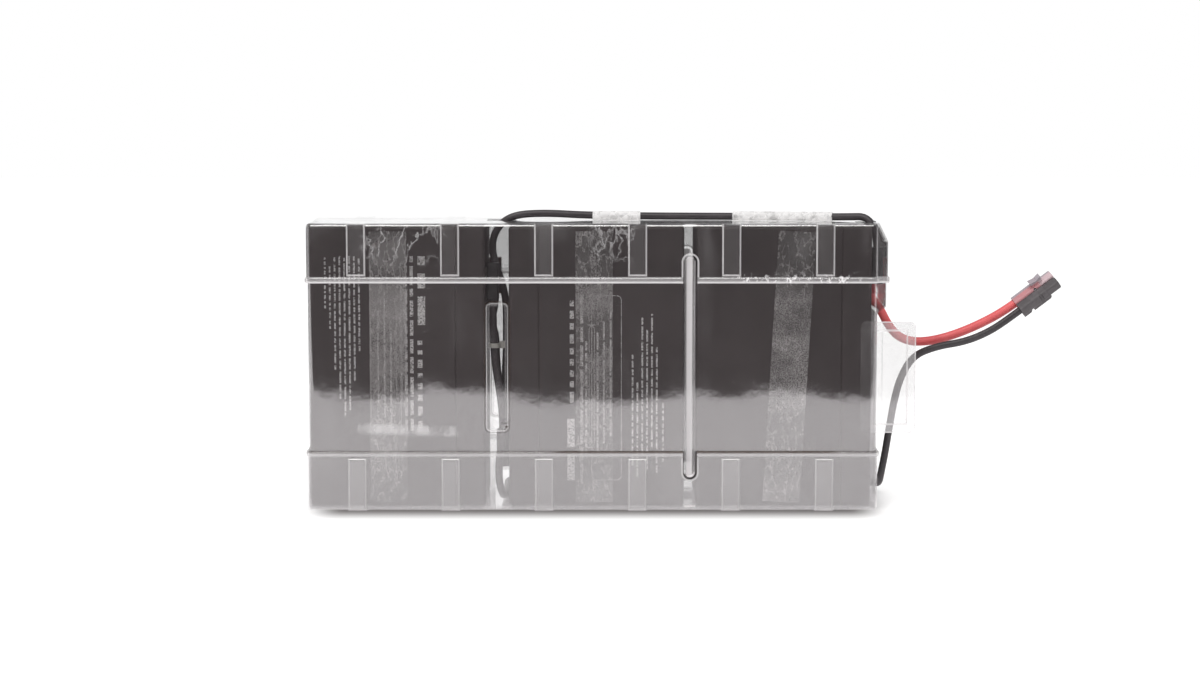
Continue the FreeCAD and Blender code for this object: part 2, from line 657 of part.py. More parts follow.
# ============ wires ============
def rounded_path(points):
    """Straight runs joined by tangent arcs, each arc as large as its runs allow."""
    corners = [V(*p) for p in points]
    edges = []
    here = corners[0]
    radii = []
    for i in range(1, len(corners) - 1):
        back = corners[i - 1].sub(corners[i])
        on = corners[i + 1].sub(corners[i])
        shorter = min(back.Length, on.Length)
        back.normalize()
        on.normalize()
        half_turn = (math.pi - back.getAngle(on)) / 2
        radius = 0.45 * shorter / math.tan(half_turn)
        reach = 0.45 * shorter
        start = corners[i].add(back.multiply(reach))
        end = corners[i].add(on.multiply(reach))
        bisector = start.add(end).multiply(0.5).sub(corners[i])
        depth = radius / math.cos(half_turn) - radius
        middle = corners[i].add(bisector.normalize().multiply(depth))
        if start.sub(here).Length > 1e-6:
            edges.append(Part.LineSegment(here, start).toShape())
        edges.append(Part.Arc(start, middle, end).toShape())
        here = end
        radii.append(round(radius, 1))
    edges.append(Part.LineSegment(here, corners[-1]).toShape())
    return Part.Wire(edges), radii


def tube(points, name, wire):
    path, radii = rounded_path(points)
    start, ahead = V(*points[0]), V(*points[1])
    section = Part.Wire(Part.makeCircle(wire / 2, start, ahead.sub(start)))
    solid = path.makePipeShell([section], True, False)
    expected = math.pi * (wire / 2) ** 2 * path.Length
    ratio = round(solid.Volume / expected, 4)
    print(name, "length", round(path.Length, 1), "radii", radii, "volume ratio", ratio)
    return solid


FRONT_Y = terminal_places()["negative"]
REAR_Y = terminal_places()["positive"]
BOOT_OUT = BOOT_STANDOFF + BOOT_DEPTH / 2
WIRE1_X = BLOCK1_X + BLOCK_REACH + BOOT_OUT
WIRE2_X = BLOCK2_X - BOOT_OUT
WIRE3_X = ROW_END + BOOT_OUT
UPPER_MOUTH = LIFT + TERMINAL_Z - BOOT_FRONT
LOWER_MOUTH = BLOCK_TOP - TERMINAL_Z + BOOT_FRONT
HOOD_MOUTH = LIFT + TERMINAL_Z + BOOT_FRONT
TOP_REST = CASE_HEIGHT + WIRE_RADIUS + 0.1
REAR_REST = TRAY_Y + FILM + RIB_OUT + WIRE_RADIUS + 0.3
LEFT_LANE = BLOCK1_X + BLOCK_REACH + WIRE_RADIUS + 0.3
RIGHT_LANE = BLOCK2_X - WIRE_RADIUS - 0.5

# Block 3 negative, over the top, down the wire gap to block 2 positive.
TOP_LINK = [
    (WIRE3_X, FRONT_Y, HOOD_MOUTH - BOOT_GRIP),
    (WIRE3_X + 0.6, FRONT_Y + 1, TOP_REST + 1.0),
    (134, -10, TOP_REST),
    (82, -3, TOP_REST),
    (36, -1, TOP_REST),
    (-2, 0, TOP_REST + 0.4),
    (-25, -1, TOP_REST + 1.8),
    (-43.0, 0, TOP_REST + 0.6),
    (-51.4, 1, 150.0),
    (LEFT_LANE, 1, 141),
    (-52.4, 2, 131),
    (-48.8, 3, 121),
    (RIGHT_LANE, 4, 110),
    (RIGHT_LANE, 7, 97),
    (-46.6, 13, 84),
    (-47.4, 18.5, 71),
    (WIRE2_X, REAR_Y, 59),
    (WIRE2_X, REAR_Y, LOWER_MOUTH - BOOT_GRIP),
]
# Block 1 positive, down the wire gap to block 2 negative.
GAP_LINK = [
    (WIRE1_X, REAR_Y, UPPER_MOUTH + BOOT_GRIP),
    (WIRE1_X, REAR_Y, 107.5),
    (-53.8, 12, 102.5),
    (LEFT_LANE, 2.5, 99.5),
    (-53.4, -6.5, 97),
    (-51.4, -13.6, 92.2),
    (-51.2, -15, 79),
    (-49.4, -18, 66),
    (WIRE2_X, FRONT_Y, 54),
    (WIRE2_X, FRONT_Y, LOWER_MOUTH - BOOT_GRIP),
]
# Block 1 negative, down the front of the wire gap, out at the rear and round to the connector.
FRONT_LANE = -28.4
BLACK_LEAD = [
    (WIRE1_X, FRONT_Y, UPPER_MOUTH + BOOT_GRIP),
    (WIRE1_X, FRONT_Y - 0.4, 103),
    (-52.0, -22.2, 81),
    (-49.8, -26.4, 68),
    (-47.6, FRONT_LANE, 54),
    (-47.2, FRONT_LANE - 0.6, 40),
    (-49.4, FRONT_LANE - 1.2, 27),
    (-49.6, FRONT_LANE, 15),
    (-47.8, -22.5, 6.6),
    (RIGHT_LANE, -10, 4.8),
    (RIGHT_LANE, 6, 4.6),
    (RIGHT_LANE, 22, 5.2),
    (RIGHT_LANE, REAR_REST, 6.4),
    (-19, REAR_REST, 6.6),
    (8, REAR_REST, 8.4),
    (50, REAR_REST, 6.6),
    (100, REAR_REST, 8.2),
    (132, REAR_REST, 6.2),
    (148, REAR_REST, 4.6),
    (158.2, REAR_REST - 0.8, 4.2),
    (161.2, 28, 5.0),
    (161.6, 20.0, 12.5),
    (163.2, 15.5, 24),
    (165.0, 12, 38.5),
    (167.0, 9, 53),
    (170.2, 7, 67),
    (176.8, 4.5, 79.5),
    (189.5, 2, 85),
    (205, -0.5, 87.8),
    (218, -2.4, 93.6),
]
# Block 3 positive, out under the hood to the connector.
RED_LEAD = [
    (WIRE3_X, REAR_Y, UPPER_MOUTH + BOOT_GRIP),
    (WIRE3_X + 0.2, REAR_Y, 110.2),
    (159.8, 18.0, 104.6),
    (163.6, 15.8, 96.5),
    (168.8, 13.2, 89.6),
    (176.5, 11.2, 86.6),
    (186.0, 9.4, 87.0),
    (198.0, 7.2, 90.2),
    (212.0, 4.5, 96.2),
]

# ============ power connector ============
AXIS = V(math.cos(math.radians(HOUSING_PITCH)), 0, math.sin(math.radians(HOUSING_PITCH)))
RISE = V(-AXIS.z, 0, AXIS.x)
roll = math.radians(HOUSING_ROLL)
STACK = V(0, math.cos(roll), 0).add(RISE * math.sin(roll))
UPRIGHT = (RISE * math.cos(roll)).sub(V(0, math.sin(roll), 0))
BLACK_ENTRY = V(234.4, -3.0, 105.4)
RED_ENTRY = BLACK_ENTRY.add(STACK * HOUSING_SIDE)


def connector_place(entry):
    """Turns a housing's own frame, x along it and z upright, into its place on the leads."""
    place = FreeCAD.Matrix(
        AXIS.x, STACK.x, UPRIGHT.x, entry.x,
        AXIS.y, STACK.y, UPRIGHT.y, entry.y,
        AXIS.z, STACK.z, UPRIGHT.z, entry.z,
        0, 0, 0, 1,
    )
    return place


def lug(outline, width):
    """Moulded lug: an outline in x and z, extruded across the housing."""
    return prism([(x, -width / 2, z) for x, z in outline], V(0, width, 0))


def housing(wire, crested):
    """Single-pole housing: rounded body, slimmer nose, rear lug and hooked lug underneath.

    The crested one also has the flared lug on top that the other pole's latch grips.
    """
    half = HOUSING_SIDE / 2
    nose = HOUSING_LENGTH - NOSE_LENGTH
    body = box(0, nose, -half, half, -half, half)
    body = body.makeFillet(HOUSING_ROUND, edges_along(body, V(1, 0, 0)))
    slim = half - NOSE_STEP
    tip = box(nose - 1, HOUSING_LENGTH, -slim, slim, -slim, slim)
    tip = tip.makeFillet(HOUSING_ROUND - NOSE_STEP, edges_along(tip, V(1, 0, 0)))
    tip = tip.makeChamfer(0.5, [e for e in tip.Edges if abs(e.BoundBox.XMin - HOUSING_LENGTH) < 1e-6])
    body = body.fuse(tip)
    flat = HOUSING_SIDE - 2 * HOUSING_ROUND
    low = 1 - half
    foot = -half - LUG_DROP
    rear = [
        (0, low), (0, foot), (LUG_LENGTH - LUG_CHAMFER, foot),
        (LUG_LENGTH, foot + LUG_DROP / 2), (LUG_LENGTH, low),
    ]
    body = body.fuse(lug(rear, flat))
    foot = -half - HOOK_DROP
    hook = [
        (HOOK_STEM, low), (HOOK_STEM, -half - HOOK_GAP), (HOOK_TIP, -half - HOOK_GAP), (HOOK_TIP, foot),
        (HOOK_END - LUG_CHAMFER, foot), (HOOK_END, foot + LUG_CHAMFER), (HOOK_END, low),
    ]
    body = body.fuse(lug(hook, flat))
    if crested:
        top = half + CREST_RISE
        lip_end = CREST_HALF + CREST_FLARE
        half_crest = [
            (0, top - CREST_DIP), (lip_end - CREST_LIP, top - 0.3 * CREST_DIP),
            (lip_end, top), (CREST_HALF, -low),
        ]
        left = [(CREST_PLACE - x, z) for x, z in reversed(half_crest)]
        right = [(CREST_PLACE + x, z) for x, z in half_crest[1:]]
        body = body.fuse(lug(left + right, flat))
    body = body.cut(Part.makeCylinder(wire / 2 + BORE_GAP, BORE_DEPTH, V(0, 0, 0), V(1, 0, 0)))
    wide = CONTACT_WIDTH / 2 + CONTACT_GAP
    body = body.cut(box(BORE_DEPTH - 0.5, HOUSING_LENGTH + 1, -wide, wide, SLOT_LOW, SLOT_HIGH))
    for side in (-1, 1):
        groove = Part.makeCylinder(
            PIN_RADIUS + PIN_GAP, 2 * HOUSING_SIDE, V(PIN_PLACE, side * half, -HOUSING_SIDE), V(0, 0, 1)
        )
        body = body.cut(groove)
    return body


def contact():
    """Silvered blade in the nose with its crimp barrel against the wire's end."""
    blade = box(
        BORE_DEPTH - 0.3, HOUSING_LENGTH - 3.0, -CONTACT_WIDTH / 2, CONTACT_WIDTH / 2,
        BLADE_LOW, BLADE_LOW + CONTACT_THICKNESS,
    )
    barrel = Part.makeCylinder(BARREL_RADIUS, BORE_DEPTH - BOOT_GRIP, V(BOOT_GRIP, 0, 0), V(1, 0, 0))
    return blade.fuse(barrel)


def lock_pin():
    """Roll pin in the hole that the two housings' grooves make."""
    foot = V(PIN_PLACE, HOUSING_SIDE / 2, -HOUSING_SIDE / 2)
    body = Part.makeCylinder(PIN_RADIUS, HOUSING_SIDE, foot, V(0, 0, 1))
    return body.cut(Part.makeCylinder(PIN_RADIUS - PIN_WALL, HOUSING_SIDE, foot, V(0, 0, 1)))


def at_connector(shape, entry):
    placed = shape.copy()
    placed.Placement = FreeCAD.Placement(connector_place(entry))
    return placed


for colour, entry, wire in (("black", BLACK_ENTRY, WIRE), ("red", RED_ENTRY, RED_WIRE)):
    save(at_connector(housing(wire, colour == "red"), entry), "connector_%s_housing" % colour)
    save(at_connector(contact(), entry), "connector_%s_contact" % colour)
save(at_connector(lock_pin(), BLACK_ENTRY), "connector_lock_pin")


def into_housing(route, entry):
    """End a lead inside its housing, straight along the housing's axis."""
    approach = entry.sub(AXIS * 6.5)
    seat = entry.add(AXIS * BOOT_GRIP)
    return route + [(approach.x, approach.y, approach.z), (seat.x, seat.y, seat.z)]


save(tube(TOP_LINK, "top_link", WIRE), "top_link")
save(tube(GAP_LINK, "gap_link", WIRE), "gap_link")
save(tube(into_housing(BLACK_LEAD, BLACK_ENTRY), "black_lead", WIRE), "black_lead")
save(tube(into_housing(RED_LEAD, RED_ENTRY), "red_lead", RED_WIRE), "red_lead")


# ============ cable tie and tapes ============
def at_height(route, first, z):
    """Point at one height of the run that starts at a route's point."""
    one, two = V(*route[first]), V(*route[first + 1])
    return one.add(two.sub(one) * ((z - one.z) / (two.z - one.z)))


TIED = [at_height(BLACK_LEAD, 1, TIE_HEIGHT), at_height(GAP_LINK, 5, TIE_HEIGHT)]


def around_both(radius, z0, z1):
    """Upright form that encloses the black lead and the gap link at the tie."""
    one, two = V(TIED[0].x, TIED[0].y, z0), V(TIED[1].x, TIED[1].y, z0)
    along = two.sub(one)
    side = V(-along.y, along.x, 0).normalize() * radius
    corners = [one.add(side), two.add(side), two.sub(side), one.sub(side)]
    middle = prism([(c.x, c.y, c.z) for c in corners], V(0, 0, z1 - z0))
    ends = [Part.makeCylinder(radius, z1 - z0, place) for place in (one, two)]
    return middle.fuse(ends[0]).fuse(ends[1])


def cable_tie():
    """Flat strap round two wires with its square head on the side away from block 1."""
    z0 = TIE_HEIGHT - TIE_WIDTH / 2
    z1 = TIE_HEIGHT + TIE_WIDTH / 2
    room = around_both(WIRE_RADIUS + TIE_GAP, z0 - 1, z1 + 1)
    strap = around_both(WIRE_RADIUS + TIE_GAP + TIE_THICKNESS, z0, z1)
    x = (TIED[0].x + TIED[1].x) / 2 + WIRE_RADIUS + TIE_GAP + 1.6
    y = (TIED[0].y + TIED[1].y) / 2
    head = centred_box(x, y, TIE_HEIGHT, 3.0, 4.4, 3.6)
    head = head.makeFillet(0.5, edges_along(head, V(0, 0, 1)))
    return strap.fuse(head).cut(room)


save(cable_tie(), "cable_tie")


def tape_over(middle, along, width, out, foot, skirt):
    """Tape across a wire: an arch with two flat skirts.

    middle is on the wire's axis, along its direction, out points away from the surface and foot
    is the distance from the axis to the surface.
    """
    across = out.cross(along)
    arch = WIRE_RADIUS + TAPE_GAP
    reach = arch + skirt
    frame = FreeCAD.Matrix(
        along.x, across.x, out.x, middle.x,
        along.y, across.y, out.y, middle.y,
        along.z, across.z, out.z, middle.z,
        0, 0, 0, 1,
    )
    half = width / 2
    skin = x_cylinder(arch + TAPE, -half, half, 0, 0)
    skin = skin.fuse(box(-half, half, -reach, reach, -foot, TAPE - foot))
    skin = skin.cut(x_cylinder(arch, -half - 1, half + 1, 0, 0))
    skin = skin.cut(box(-half - 1, half + 1, -reach - 1, reach + 1, -foot - 3, -foot))
    skin.Placement = FreeCAD.Placement(frame)
    return skin


def between(route, first, second, x):
    """Point of a straight run of a route at one x, and the run's direction."""
    one, two = V(*route[first]), V(*route[second])
    run = two.sub(one)
    return one.add(run * ((x - one.x) / run.x)), run.normalize()


UP = V(0, 0, 1)
BACK = V(0, 1, 0)
for name, run, x, width in (("left", (5, 4), 14.0, 26.0), ("right", (3, 2), 104.0, 54.0)):
    place, along = between(TOP_LINK, run[0], run[1], x)
    level = V(along.x, along.y, 0).normalize()
    lifted = V(place.x, place.y, TOP_REST)
    save(tape_over(lifted, level, width, UP, TOP_REST - CASE_HEIGHT, TAPE_SKIRT), "top_tape_" + name)
rear_tapes = []
for run, x in (((14, 15), rib_xs()[3]), ((15, 16), rib_xs()[4])):
    place, along = between(BLACK_LEAD, run[0], run[1], x)
    stand_off = REAR_REST - TRAY_Y - FILM - RIB_OUT
    rear_tapes.append(tape_over(place, along, RIB_WIDTH - 2, BACK, stand_off, REAR_TAPE_SKIRT))
save(Part.makeCompound(rear_tapes), "rear_tapes")
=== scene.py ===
import bpy
import math
import random
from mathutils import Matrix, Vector


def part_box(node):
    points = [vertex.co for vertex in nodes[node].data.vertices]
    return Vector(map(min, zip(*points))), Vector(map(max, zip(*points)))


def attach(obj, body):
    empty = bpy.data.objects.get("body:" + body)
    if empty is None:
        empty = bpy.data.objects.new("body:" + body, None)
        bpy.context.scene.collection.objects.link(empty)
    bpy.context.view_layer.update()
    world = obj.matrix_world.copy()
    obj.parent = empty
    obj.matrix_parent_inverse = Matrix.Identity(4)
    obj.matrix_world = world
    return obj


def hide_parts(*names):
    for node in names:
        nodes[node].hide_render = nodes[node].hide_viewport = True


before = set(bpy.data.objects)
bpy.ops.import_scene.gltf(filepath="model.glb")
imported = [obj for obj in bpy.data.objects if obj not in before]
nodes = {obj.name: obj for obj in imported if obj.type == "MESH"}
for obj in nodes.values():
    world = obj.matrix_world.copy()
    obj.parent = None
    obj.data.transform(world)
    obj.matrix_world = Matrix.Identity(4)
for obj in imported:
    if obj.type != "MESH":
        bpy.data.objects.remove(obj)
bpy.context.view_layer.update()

# ---------------------------------------------------------------------------------------------
# Studio: a white bench under one broad soft lamp, with the room dark in front of the bench.
# The bench is white to half a metre before and behind the cartridge, which its film mirrors.
# ---------------------------------------------------------------------------------------------


class Signal:
    """One output of a material's nodes; arithmetic on it adds Math nodes."""

    def __init__(self, finish, socket):
        self.finish = finish
        self.socket = socket

    def out(self, name):
        return Signal(self.finish, self.socket.node.outputs[name])

    def math(self, operation, first, second=0.0):
        return self.finish.node("ShaderNodeMath", {"operation": operation}, {0: first, 1: second})

    def __add__(self, other):
        return self.math("ADD", self, other)

    def __radd__(self, other):
        return self.math("ADD", other, self)

    def __sub__(self, other):
        return self.math("SUBTRACT", self, other)

    def __rsub__(self, other):
        return self.math("SUBTRACT", other, self)

    def __mul__(self, other):
        return self.math("MULTIPLY", self, other)

    def __rmul__(self, other):
        return self.math("MULTIPLY", other, self)

    def __pow__(self, other):
        return self.math("POWER", self, other)

    def __gt__(self, other):
        return self.math("GREATER_THAN", self, other)

    def __lt__(self, other):
        return self.math("LESS_THAN", self, other)

    def __abs__(self):
        return self.math("ABSOLUTE", self)

    def clamped(self):
        return self.finish.node("ShaderNodeClamp", {}, {"Value": self})

    def ramp(self, low, high, start=0.0, end=1.0):
        """Smooth step from start at low to end at high."""
        return self.finish.node(
            "ShaderNodeMapRange",
            {"interpolation_type": "SMOOTHSTEP"},
            {"Value": self, "From Min": low, "From Max": high, "To Min": start, "To Max": end},
        )


class Finish:
    """A material or world being mixed from nodes."""

    def __init__(self, owner, output):
        owner.use_nodes = True
        self.tree = owner.node_tree
        self.tree.nodes.clear()
        self.end = self.tree.nodes.new(output)
        self.owner = owner

    def node(self, kind, settings=None, sockets=None):
        """Add a node: its settings first, then the values or links of its sockets."""
        made = self.tree.nodes.new(kind)
        for name, value in (settings or {}).items():
            setattr(made, name, value)
        for name, value in (sockets or {}).items():
            if isinstance(value, Signal):
                self.tree.links.new(value.socket, made.inputs[name])
            else:
                made.inputs[name].default_value = value
        return Signal(self, made.outputs[0])

    def spot(self):
        """The place on the piece, in metres."""
        return self.node("ShaderNodeTexCoord").out("Object")

    def place(self):
        """The place on the piece, and its X, Y and Z."""
        at = self.spot()
        split = self.node("ShaderNodeSeparateXYZ", {}, {0: at})
        return at, split.out("X"), split.out("Y"), split.out("Z")

    def noise(self, vector, scale, detail=3.0, roughness=0.5):
        return self.node(
            "ShaderNodeTexNoise",
            {},
            {"Vector": vector, "Scale": scale, "Detail": detail, "Roughness": roughness},
        )

    def stretched(self, vector, x, y, z):
        """The same place with each direction stretched, for grain that runs one way."""
        return self.node("ShaderNodeMapping", {}, {"Vector": vector, "Scale": (x, y, z)})

    def blend(self, factor, one, two):
        """A colour between two colours, which are sockets 6 and 7 of a colour Mix node."""
        mixed = self.node(
            "ShaderNodeMix", {"data_type": "RGBA"}, {0: factor, 6: one, 7: two}
        )
        return Signal(self, mixed.socket.node.outputs[2])

    def bump(self, height, distance, strength=1.0):
        return self.node(
            "ShaderNodeBump", {}, {"Height": height, "Distance": distance, "Strength": strength}
        )

    def surface(self, shader):
        self.tree.links.new(shader.socket, self.end.inputs["Surface"])
        return self.owner


def material(name):
    return Finish(bpy.data.materials.new(name), "ShaderNodeOutputMaterial")


def paint(piece, finish):
    """Give a whole piece one finish."""
    if not piece.material_slots:
        piece.data.materials.append(finish)
    for slot in piece.material_slots:
        slot.material = finish


camera_height = 0.245
camera_target = Vector((0.005, -0.034, 0.094))
bpy.ops.object.select_all(action="DESELECT")
bpy.ops.object.camera_add(location=(0.005, -1.534, camera_height))
camera = bpy.context.object
camera.data.sensor_width = 36.0
camera.data.lens = 84.5
camera.rotation_euler = (camera_target - camera.location).to_track_quat("-Z", "Y").to_euler()
bpy.context.scene.camera = camera
bpy.context.scene.view_settings.view_transform = "Standard"

bpy.ops.object.light_add(type="AREA", location=(-0.35, -0.9, 1.55))
lamp = bpy.context.object
lamp.data.shape = "RECTANGLE"
lamp.data.size = 1.6
lamp.data.size_y = 1.1
lamp.data.energy = 17.0
lamp.data.color = (1.0, 0.985, 0.97)
lamp.rotation_euler = (Vector((0.0, 0.0, 0.08)) - lamp.location).to_track_quat("-Z", "Y").to_euler()

bpy.ops.mesh.primitive_plane_add(size=8.0, location=(0.0, 0.0, 0.0))
bench = bpy.context.object
bench.name = "bench"
laminate = material("bench laminate")
ray = laminate.node("ShaderNodeLightPath")
_, across, depth, _ = laminate.place()
near = abs(depth).ramp(0.52, 0.60, 1.0, 0.0)
lit = laminate.node("ShaderNodeBsdfDiffuse", {}, {"Color": (0.86, 0.86, 0.86, 1.0)})
# Painted shadow: a dark patch laid on the bench by position, below and in front of the cartridge, as its
# contact shadow.
painted_contact_shadow = depth.ramp(-0.085, -0.033) ** 1.4 * depth.ramp(0.02, 0.05, 1.0, 0.0)
painted_contact_shadow = painted_contact_shadow * abs(across - 0.003).ramp(0.135, 0.165, 1.0, 0.0) * 0.95
glow = laminate.node(
    "ShaderNodeEmission",
    {},
    {
        "Color": laminate.blend(painted_contact_shadow, (1.0, 1.0, 1.0, 1.0), (0.0, 0.0, 0.0, 1.0)),
        "Strength": ray.out("Is Camera Ray") * 0.5,
    },
)
shade = laminate.node("ShaderNodeBsdfDiffuse", {}, {"Color": (0.16, 0.145, 0.145, 1.0)})
floor = laminate.node("ShaderNodeMixShader", {}, {0: painted_contact_shadow, 1: lit, 2: shade})
seen = laminate.node("ShaderNodeAddShader", {}, {0: floor, 1: glow})
mirrored = laminate.node(
    "ShaderNodeEmission",
    {},
    {"Color": laminate.blend(near, (0.06, 0.052, 0.054, 1.0), (1.0, 0.96, 0.975, 1.0))},
)
paint(
    bench,
    laminate.surface(
        laminate.node("ShaderNodeMixShader", {}, {0: ray.out("Is Glossy Ray"), 1: seen, 2: mirrored})
    ),
)

room = bpy.data.worlds.new("room")
bpy.context.scene.world = room
sky = Finish(room, "ShaderNodeOutputWorld")
ray = sky.node("ShaderNodeLightPath")
toward = sky.node("ShaderNodeTexCoord").out("Generated")
aim = sky.node("ShaderNodeSeparateXYZ", {}, {0: toward})
backdrop = aim.out("Y").ramp(0.0, 0.25) * aim.out("Z").ramp(0.28, 0.5, 1.0, 0.0)
soft = sky.node("ShaderNodeBackground", {}, {"Color": (1.0, 1.0, 1.0, 1.0), "Strength": 0.62})
mirrored = sky.node(
    "ShaderNodeBackground",
    {},
    {"Color": sky.blend(backdrop, (0.07, 0.065, 0.065, 1.0), (1.0, 1.0, 1.0, 1.0))},
)
white = sky.node("ShaderNodeBackground", {}, {"Color": (1.0, 1.0, 1.0, 1.0), "Strength": 1.0})
lighting = sky.node("ShaderNodeMixShader", {}, {0: ray.out("Is Glossy Ray"), 1: soft, 2: mirrored})
sky.surface(sky.node("ShaderNodeMixShader", {}, {0: ray.out("Is Camera Ray"), 1: lighting, 2: white}))

# ---------------------------------------------------------------------------------------------
# Leads and links: stranded copper in soft insulation, crimped at both ends.  The two leads are
# stiff enough to stand free from the case's right end up to the connector.
# ---------------------------------------------------------------------------------------------


def insulation(name, colour, deep, dust):
    """Extruded insulation: faint die lines, handling dust and a satin skin."""
    made = material(name)
    at = made.spot()
    cloud = made.noise(at, 60.0, 4.0, 0.6)
    speck = made.noise(at, 900.0, 2.0, 0.6)
    tone = made.blend(cloud.ramp(0.35, 0.7), colour, deep)
    tone = made.blend(speck.ramp(0.62, 0.75) * cloud.ramp(0.4, 0.7) * 0.35, tone, dust)
    skin = made.node(
        "ShaderNodeBsdfPrincipled",
        {},
        {
            "Base Color": tone,
            "Roughness": cloud.ramp(0.2, 0.8, 0.34, 0.5),
            "Normal": made.bump(speck, 0.00003),
        },
    )
    return made.surface(skin)


black_insulation = insulation(
    "black insulation", (0.05, 0.044, 0.048, 1.0), (0.07, 0.062, 0.067, 1.0), (0.24, 0.22, 0.22, 1.0)
)
red_insulation = insulation(
    "red insulation", (0.9, 0.16, 0.165, 1.0), (0.8, 0.12, 0.13, 1.0), (0.9, 0.55, 0.55, 1.0)
)


def wire(name, route, diameter, node, finish):
    """A round wire along a smooth line through a route; route and diameter in millimetres."""
    line = bpy.data.curves.new(name, "CURVE")
    line.dimensions = "3D"
    spline = line.splines.new("NURBS")
    spline.points.add(len(route) - 1)
    for point, (x, y, z) in zip(spline.points, route):
        point.co = (x / 1000, y / 1000, z / 1000, 1.0)
    spline.order_u = 3
    spline.use_endpoint_u = True
    spline.resolution_u = 10
    line.bevel_depth = diameter / 2000
    line.bevel_resolution = 7
    line.use_fill_caps = True
    piece = bpy.data.objects.new(name, line)
    bpy.context.collection.objects.link(piece)
    paint(piece, finish)
    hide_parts(node)
    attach(piece, "root")
    return piece


black_route = [
    (-52.8, -20, 119), (-52.8, -20.4, 103), (-52.0, -22.2, 81), (-49.8, -26.4, 68),
    (-47.6, -28.4, 54), (-47.2, -29.0, 40), (-49.4, -29.6, 27), (-49.6, -28.4, 15),
    (-47.8, -22.5, 6.6), (-46.4, -10, 4.8), (-46.4, 6, 4.6), (-46.4, 22, 5.2),
    (-46.4, 38.05, 6.4), (-19, 38.05, 6.6), (8, 38.05, 8.4), (50, 38.05, 6.6),
    (100, 38.05, 8.2), (132, 38.05, 6.2), (148, 38.05, 4.6), (158.2, 37.25, 4.2),
    (161.2, 28, 5.0), (161.6, 20, 12.5), (163.2, 15.5, 24), (165.0, 12, 38.5),
    (167.0, 9, 53), (170.2, 7, 67), (176.8, 4.5, 79.5), (189.5, 2, 85),
    (205, -0.5, 87.8), (218, -2.4, 93.6), (229.23, -3.0, 101.46), (239.17, -3.0, 109.04),
]
red_route = [
    (154.2, 20, 119), (154.4, 20, 110.2), (159.8, 18.0, 104.6), (163.6, 15.8, 96.5),
    (168.8, 13.2, 89.6), (176.5, 11.2, 86.6), (186, 9.4, 87.0), (198, 7.2, 90.2),
    (212, 4.5, 96.2), (226.81, 1.75, 104.63), (236.76, 1.75, 112.2),
]
top_route = [
    (154.2, -20, 135), (154.8, -19, 157.6), (134, -10, 156.6), (82, -3, 156.6),
    (36, -1, 156.6), (-2, 0, 157.0), (-25, -1, 158.4), (-43.0, 0, 157.2),
    (-51.4, 1, 150), (-54.2, 1, 141), (-52.4, 2, 131), (-48.8, 3, 121),
    (-46.4, 4, 110), (-46.4, 7, 97), (-46.6, 13, 84), (-47.4, 18.5, 71), (-47.6, 20, 59), (-47.6, 20, 36),
]
gap_route = [
    (-52.8, 20, 119), (-52.8, 20, 107.5), (-53.8, 12, 102.5), (-54.2, 2.5, 99.5),
    (-53.4, -6.5, 97), (-51.4, -13.6, 92.2), (-51.2, -15, 79), (-49.4, -18, 66),
    (-47.6, -20, 54), (-47.6, -20, 36),
]
black_lead = wire("black_lead_wire", black_route, 4.0, "black_lead", black_insulation)
red_lead = wire("red_lead_wire", red_route, 4.8, "red_lead", red_insulation)
wire("top_link_wire", top_route, 4.0, "top_link", black_insulation)
wire("gap_link_wire", gap_route, 4.0, "gap_link", black_insulation)

# ---------------------------------------------------------------------------------------------
# Power connector: two single-pole housings slid together on dovetails and locked by a roll pin,
# with a silvered blade in each nose.
# ---------------------------------------------------------------------------------------------


def moulding(name, colour, worn, gloss):
    """A dull moulded or cast skin with a fine grain, paler on handled places."""
    made = material(name)
    at = made.spot()
    grain = made.noise(at, 2600.0, 2.0, 0.5)
    cloud = made.noise(at, 180.0, 3.0, 0.6)
    skin = made.node(
        "ShaderNodeBsdfPrincipled",
        {},
        {
            "Base Color": made.blend(cloud.ramp(0.4, 0.75) * 0.6, colour, worn),
            "Roughness": cloud.ramp(0.2, 0.8, gloss, gloss + 0.14),
            "Normal": made.bump(grain, 0.00002),
        },
    )
    return made.surface(skin)


black_moulding = moulding("black moulding", (0.1, 0.09, 0.095, 1.0), (0.17, 0.155, 0.165, 1.0), 0.4)


connector_pitch = math.radians(37.3)
nose_start = 0.2665
latch_start = -0.0517


def faded_moulding():
    """Red housing, faded: pink body, paler nose and a greyed latch lug on its upper side."""
    made = material("faded red moulding")
    at, across, _, height = made.place()
    grain = made.noise(at, 2600.0, 2.0, 0.5)
    cloud = made.noise(at, 180.0, 3.0, 0.6)
    along = across * math.cos(connector_pitch) + height * math.sin(connector_pitch)
    above = height * math.cos(connector_pitch) - across * math.sin(connector_pitch)
    tone = made.blend(cloud.ramp(0.3, 0.75) * 0.5, (0.6, 0.24, 0.26, 1.0), (0.6, 0.36, 0.38, 1.0))
    tone = made.blend(along.ramp(nose_start, nose_start + 0.0015), tone, (0.66, 0.5, 0.53, 1.0))
    tone = made.blend(above.ramp(latch_start, latch_start + 0.0007) * 0.9, tone, (0.4, 0.37, 0.41, 1.0))
    skin = made.node(
        "ShaderNodeBsdfPrincipled",
        {},
        {
            "Base Color": tone,
            "Roughness": cloud.ramp(0.2, 0.8, 0.38, 0.52),
            "Normal": made.bump(grain, 0.00002),
        },
    )
    return made.surface(skin)


red_moulding = faded_moulding()


def bright_metal(name, colour, roughness):
    """Plated metal with drawn scratches."""
    made = material(name)
    at = made.spot()
    drawn = made.noise(made.stretched(at, 400.0, 400.0, 4000.0), 1.0, 2.0, 0.6)
    skin = made.node(
        "ShaderNodeBsdfPrincipled",
        {},
        {
            "Base Color": made.blend(drawn, colour, (0.5, 0.5, 0.5, 1.0)),
            "Metallic": 1.0,
            "Roughness": drawn.ramp(0.2, 0.8, roughness, roughness + 0.2),
            "Normal": made.bump(drawn, 0.00001),
        },
    )
    return made.surface(skin)


